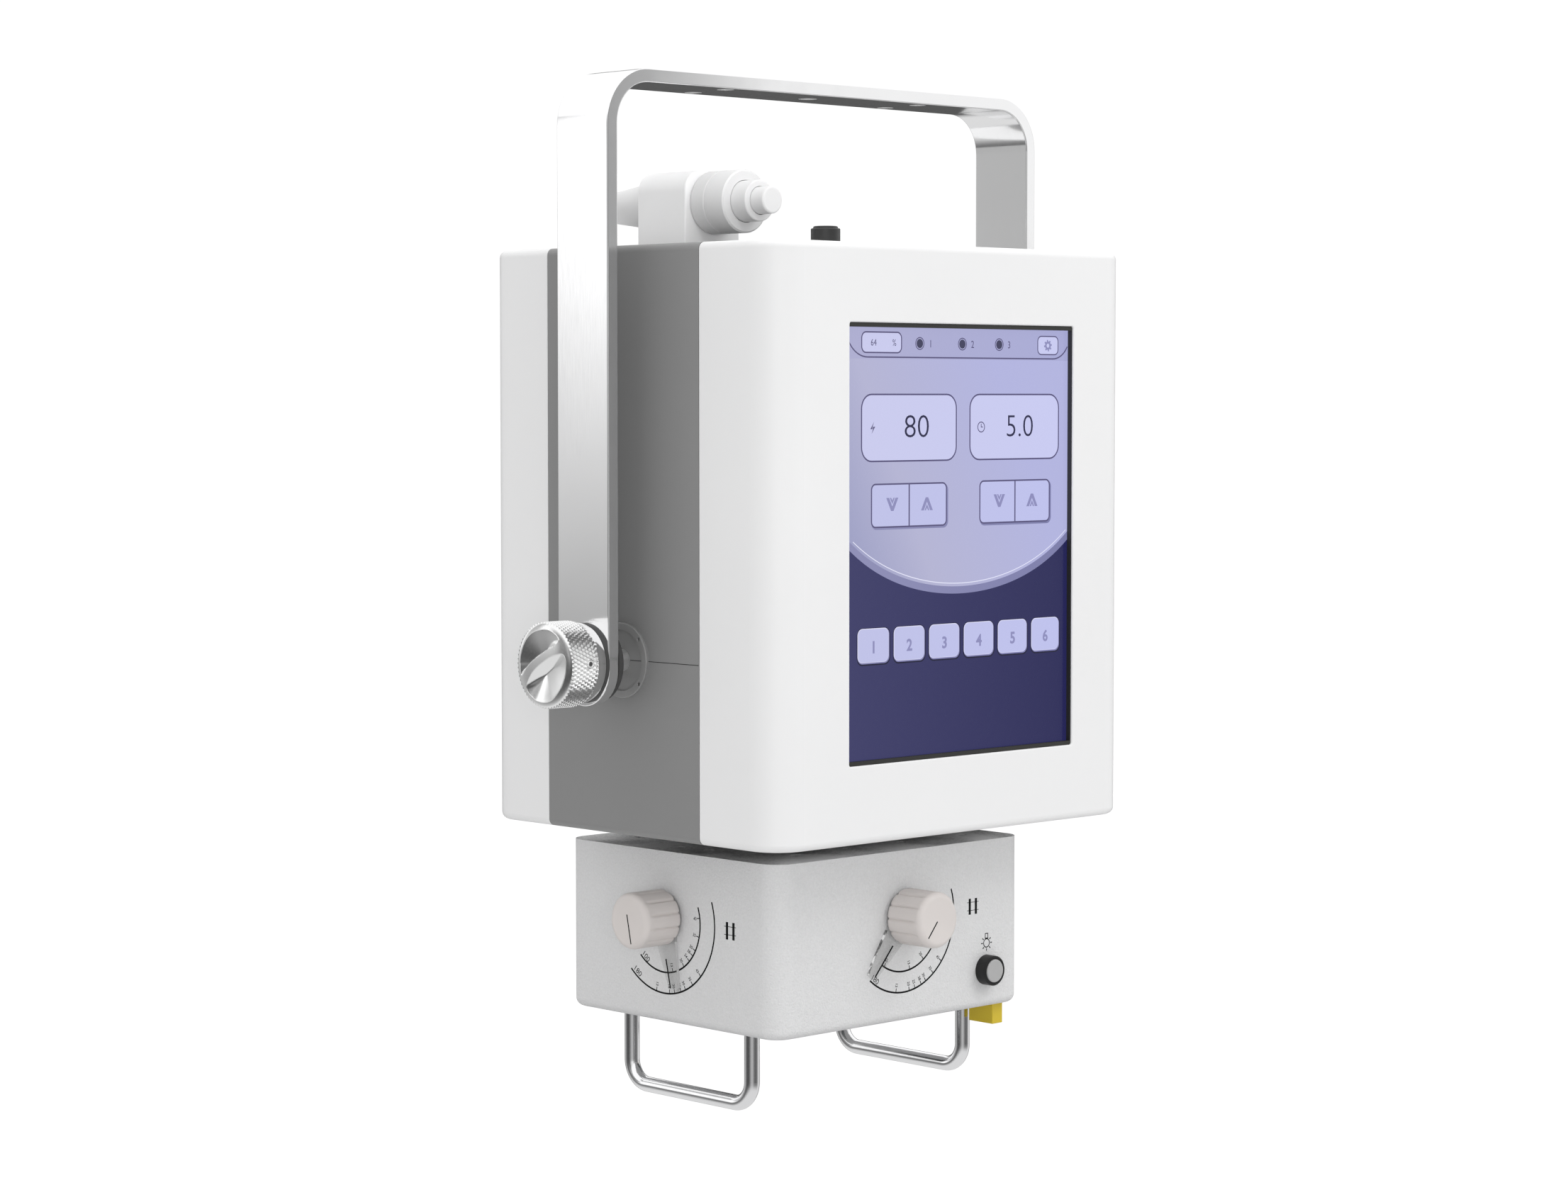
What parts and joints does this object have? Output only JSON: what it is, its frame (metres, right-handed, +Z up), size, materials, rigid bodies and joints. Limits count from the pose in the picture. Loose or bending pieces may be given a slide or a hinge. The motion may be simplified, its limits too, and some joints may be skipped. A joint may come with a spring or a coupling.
{
  "type": "portable x-ray machine",
  "caption": "Compact box-shaped x-ray generator with a portrait touch screen, swinging flat-bar yoke with clamp knobs, top hand switch and a knob-controlled beam limiter on rod rails below.",
  "frame": {"origin": "centre of the whole machine's footprint box, on the plane that the two rails stand on", "axes": "+Z up, -Y towards the screen and the front field knob, +X to the right as one faces the screen"},
  "size_m": [0.369, 0.2216, 0.532],
  "materials": {
    "white_shell": "smooth moulded, satin gloss",
    "grey_shell": "smooth moulded, satin",
    "black_plastic": "fine satin",
    "dark_bezel": "matte",
    "display_glass": "glossy, lit display behind",
    "lcd_frame": "satin",
    "steel": "plain",
    "board": "lacquered",
    "bright_aluminium": "fine satin, bright",
    "tank_aluminium": "machined",
    "knurled_metal": "polished, diamond knurl",
    "rubber_washer": "matte",
    "tube_glass": "clear",
    "copper": "machined",
    "core_ferrite": "sintered, bare",
    "powder_white": "fine powder coat texture",
    "knob_plastic": "warm light grey, satin",
    "acrylic": "clear, polished",
    "lead_steel": "dull grey",
    "mirror_glass": "polished",
    "grey_cap": "satin",
    "chrome_rod": "polished",
    "tape_yellow": "satin"
  },
  "bodies": {
    "machine": {"front_cover": "white_shell", "screen_gasket": "dark_bezel", "touch_glass": "display_glass", "lcd_module": "lcd_frame", "screen_bracket": "steel", "control_board": "board", "power_button_ring": "black_plastic", "mid_casing_upper": "grey_shell", "mid_casing_lower": "grey_shell", "rear_cover": "white_shell", "tie_bolts": "steel", "power_inlet": "black_plastic", "chassis": "tank_aluminium", "pivot_flanges": "grey_shell", "pivot_studs": "knurled_metal", "pivot_flange_screws": "steel", "tube_tank": "tank_aluminium", "tank_lid": "tank_aluminium", "tube_envelope": "tube_glass", "tube_anode": "copper", "tube_cathode": "steel", "hv_transformer_core": "core_ferrite", "hv_transformer_winding": "copper", "hv_multiplier": "board", "inverter_board": "board", "switch_holder": "white_shell", "collimator_housing": "powder_white", "collimator_top_plate": "bright_aluminium", "top_plate_screws": "steel", "collimator_neck": "tank_aluminium", "knob_shaft_bushes": "steel", "field_mirror": "mirror_glass", "field_lamp": "tube_glass", "exit_window": "acrylic", "lamp_button_ring": "black_plastic", "left_rail": "chrome_rod", "right_rail": "chrome_rod", "rail_nuts": "steel", "tape_case": "black_plastic"},
    "yoke_arm": {"yoke": "bright_aluminium", "yoke_washers": "rubber_washer"},
    "left_clamp": {"left_clamp_knob": "knurled_metal"},
    "right_clamp": {"right_clamp_knob": "knurled_metal"},
    "power_key": {"power_button_cap": "black_plastic"},
    "hand_switch": {"hand_switch_body": "white_shell"},
    "switch_first_stage": {"hand_switch_sleeve": "white_shell"},
    "switch_second_stage": {"hand_switch_button": "white_shell"},
    "left_field_control": {"left_field_knob": "knob_plastic", "left_pointer": "acrylic", "left_knob_shaft": "steel"},
    "front_field_control": {"front_field_knob": "knob_plastic", "front_pointer": "acrylic", "front_knob_shaft": "steel"},
    "rear_blade": {"rear_shutter": "lead_steel"},
    "front_blade": {"front_shutter": "lead_steel"},
    "left_blade": {"left_shutter": "lead_steel"},
    "right_blade": {"right_shutter": "lead_steel"},
    "lamp_key": {"lamp_button_cap": "grey_cap"},
    "tape_end": {"tape_tab": "tape_yellow"},
    "tape_drum": {"tape_reel": "black_plastic"}
  },
  "joints": [
    {"name": "yoke_swing", "type": "hinge", "parent": "machine", "child": "yoke_arm", "pos_m": [0, 0.00145, 0.2342], "axis": [1, 0, 0], "continuous": true},
    {"name": "left_clamp_turn", "type": "hinge", "parent": "machine", "child": "left_clamp", "pos_m": [-0.17, 0.00145, 0.2342], "axis": [1, 0, 0], "range_deg": [0, 360]},
    {"name": "right_clamp_turn", "type": "hinge", "parent": "machine", "child": "right_clamp", "pos_m": [0.17, 0.00145, 0.2342], "axis": [-1, 0, 0], "range_deg": [0, 360]},
    {"name": "power_press", "type": "slide", "parent": "machine", "child": "power_key", "axis": [0, 0, -1], "range_m": [0, 0.0025], "stiffness_N_per_m": 900, "springref_m": -0.0015},
    {"name": "hand_switch_out", "type": "slide", "parent": "machine", "child": "hand_switch", "axis": [0, -1, 0], "range_m": [0, 0.048]},
    {"name": "first_stage_press", "type": "slide", "parent": "hand_switch", "child": "switch_first_stage", "axis": [0, 1, 0], "range_m": [0, 0.004], "stiffness_N_per_m": 500, "springref_m": -0.002},
    {"name": "second_stage_press", "type": "slide", "parent": "switch_first_stage", "child": "switch_second_stage", "axis": [0, 1, 0], "range_m": [0, 0.004], "stiffness_N_per_m": 800, "springref_m": -0.002},
    {"name": "left_field_turn", "type": "hinge", "parent": "machine", "child": "left_field_control", "pos_m": [-0.1, 0.0133, 0.0978], "axis": [-1, 0, 0], "range_deg": [-56, 96]},
    {"name": "front_field_turn", "type": "hinge", "parent": "machine", "child": "front_field_control", "pos_m": [0, -0.08, 0.0978], "axis": [0, -1, 0], "range_deg": [0, 149]},
    {"name": "rear_blade_slide", "type": "slide", "parent": "machine", "child": "rear_blade", "axis": [0, 1, 0], "range_m": [-0.0078, 0.0134]},
    {"name": "front_blade_slide", "type": "slide", "parent": "machine", "child": "front_blade", "axis": [0, -1, 0], "range_m": [-0.0079, 0.0136]},
    {"name": "left_blade_slide", "type": "slide", "parent": "machine", "child": "left_blade", "axis": [-1, 0, 0], "range_m": [0, 0.0208]},
    {"name": "right_blade_slide", "type": "slide", "parent": "machine", "child": "right_blade", "axis": [1, 0, 0], "range_m": [0, 0.021]},
    {"name": "lamp_press", "type": "slide", "parent": "machine", "child": "lamp_key", "axis": [0, 1, 0], "range_m": [0, 0.002], "stiffness_N_per_m": 900, "springref_m": -0.0015},
    {"name": "tape_pull", "type": "slide", "parent": "machine", "child": "tape_end", "axis": [0, 0, -1], "range_m": [0, 0.03], "stiffness_N_per_m": 20, "springref_m": -0.1},
    {"name": "tape_drum_spin", "type": "hinge", "parent": "machine", "child": "tape_drum", "pos_m": [0.066, -0.056, 0.099], "axis": [0, 1, 0], "range_deg": [-1, 136]}
  ],
  "couplings": [
    {"joint": "left_field_turn", "follows": "rear_blade_slide", "rad_per_m": 125},
    {"joint": "front_blade_slide", "follows": "rear_blade_slide", "ratio": 1},
    {"joint": "front_field_turn", "follows": "left_blade_slide", "rad_per_m": 125},
    {"joint": "right_blade_slide", "follows": "left_blade_slide", "ratio": 1},
    {"joint": "tape_drum_spin", "follows": "tape_pull", "rad_per_m": 78.43}
  ]
}
